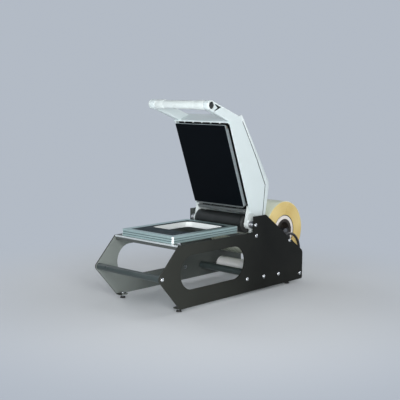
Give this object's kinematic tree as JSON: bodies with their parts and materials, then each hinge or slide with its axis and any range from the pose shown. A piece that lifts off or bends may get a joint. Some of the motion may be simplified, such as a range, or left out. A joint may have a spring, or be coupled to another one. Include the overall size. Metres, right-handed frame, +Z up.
{
  "type": "manual tray sealing machine",
  "caption": "Manual tray sealer: open side plates, tray frame with mould, spring-balanced heated lid with a cross handle, and a film reel at the rear.",
  "frame": {"origin": "on the floor, under the middle of the width and the length", "axes": "+Z up, -Y towards the operator, +X to the operator's right"},
  "size_m": [0.271, 0.667, 0.5882],
  "materials": {
    "plate_paint": "satin charcoal paint",
    "rail_paint": "satin charcoal paint",
    "bright_trim": "bright anodised",
    "tube_paint": "satin grey paint",
    "frame_aluminium": "brushed, anodised",
    "mould_aluminium": "machined",
    "seal_rubber": "matte",
    "pin_steel": "turned",
    "spring_steel": "oiled",
    "guide_paint": "satin grey paint",
    "cap_plastic": "moulded",
    "black_steel": "black paint",
    "foot_rubber": "moulded",
    "stud_steel": "plated",
    "screw_steel": "polished stainless",
    "lid_white": "satin moulded",
    "lug_white": "satin moulded",
    "handle_white": "satin moulded",
    "bush_bronze": "sintered bronze",
    "liner_black": "matte black paint",
    "heater_aluminium": "milled",
    "heater_coat": "non-stick coating",
    "element_metal": "heat-tinted strip",
    "board_fibre": "pressed fibre board",
    "bulb_steel": "drawn",
    "bar_aluminium": "drawn bar",
    "panel_plastic": "fine grain",
    "lamp_orange": "clear lens",
    "rocker_red": "moulded",
    "film": "clear film in many layers",
    "core_card": "wound card",
    "hub_plastic": "moulded",
    "shaft_steel": "blackened",
    "roller_white": "turned"
  },
  "bodies": {
    "base": {"side_plate_left": "plate_paint", "side_plate_right": "plate_paint", "front_top_rail": "rail_paint", "rear_top_rail": "rail_paint", "rail_trim": "bright_trim", "nose_tube": "tube_paint", "lower_cross_tube": "tube_paint", "rear_cross_tube": "tube_paint", "tray_frame": "frame_aluminium", "tray_mould": "mould_aluminium", "mould_gasket": "seal_rubber", "hinge_pins": "pin_steel", "stop_pins": "pin_steel", "lid_springs": "spring_steel", "film_guide_tube": "guide_paint", "guide_tube_caps": "cap_plastic", "reel_brackets": "black_steel", "reel_bow": "black_steel", "rubber_feet": "foot_rubber", "foot_studs": "stud_steel", "dome_screws": "screw_steel", "inner_nuts": "screw_steel", "roller_axle": "pin_steel"},
    "lid": {"lid_shell": "lid_white", "hinge_lugs": "lug_white", "hinge_bushes": "bush_bronze", "grip_tube": "handle_white", "grip_sleeves": "handle_white", "grip_cap": "handle_white", "handle_arms": "handle_white", "front_ledge": "lid_white", "lid_liner": "liner_black", "heater_plate": "heater_aluminium", "heater_coating": "heater_coat", "heating_elements": "element_metal", "insulating_board": "board_fibre", "thermostat_bulb": "bulb_steel", "heater_posts": "pin_steel", "knife_bar": "bar_aluminium", "film_clamp_bar": "bar_aluminium", "clamp_bar_pins": "pin_steel", "control_panel": "panel_plastic", "knob_spindle": "pin_steel", "switch_bezel": "panel_plastic", "pilot_lamp": "lamp_orange", "mains_inlet": "panel_plastic"},
    "reel": {"film_roll": "film", "reel_core": "core_card", "reel_hubs": "hub_plastic", "reel_shaft": "shaft_steel"},
    "roller": {"guide_roller": "roller_white", "roller_bushes": "bush_bronze"},
    "knob": {"thermostat_knob": "panel_plastic"},
    "rocker": {"switch_rocker": "rocker_red"}
  },
  "joints": [
    {"name": "lid_hinge", "type": "hinge", "parent": "base", "child": "lid", "pos_m": [0, 0.077, 0.212], "axis": [1, 0, 0], "range_deg": [0, 69.5], "stiffness_Nm_per_rad": 4, "springref_deg": -57.3, "deforming": ["lid_springs"]},
    {"name": "reel_spin", "type": "hinge", "parent": "base", "child": "reel", "pos_m": [0, 0.239, 0.175], "axis": [1, 0, 0], "continuous": true},
    {"name": "roller_spin", "type": "hinge", "parent": "base", "child": "roller", "pos_m": [0, 0.196, 0.044], "axis": [1, 0, 0], "continuous": true},
    {"name": "thermostat_turn", "type": "hinge", "parent": "lid", "child": "knob", "pos_m": [-0.032, 0.13565, 0.41878], "axis": [0, 0.8389, 0.5443], "range_deg": [0, 270]},
    {"name": "switch_rock", "type": "hinge", "parent": "lid", "child": "rocker", "pos_m": [0.03, 0.13775, 0.42014], "axis": [1, 0, 0], "range_deg": [-15, 0]}
  ]
}
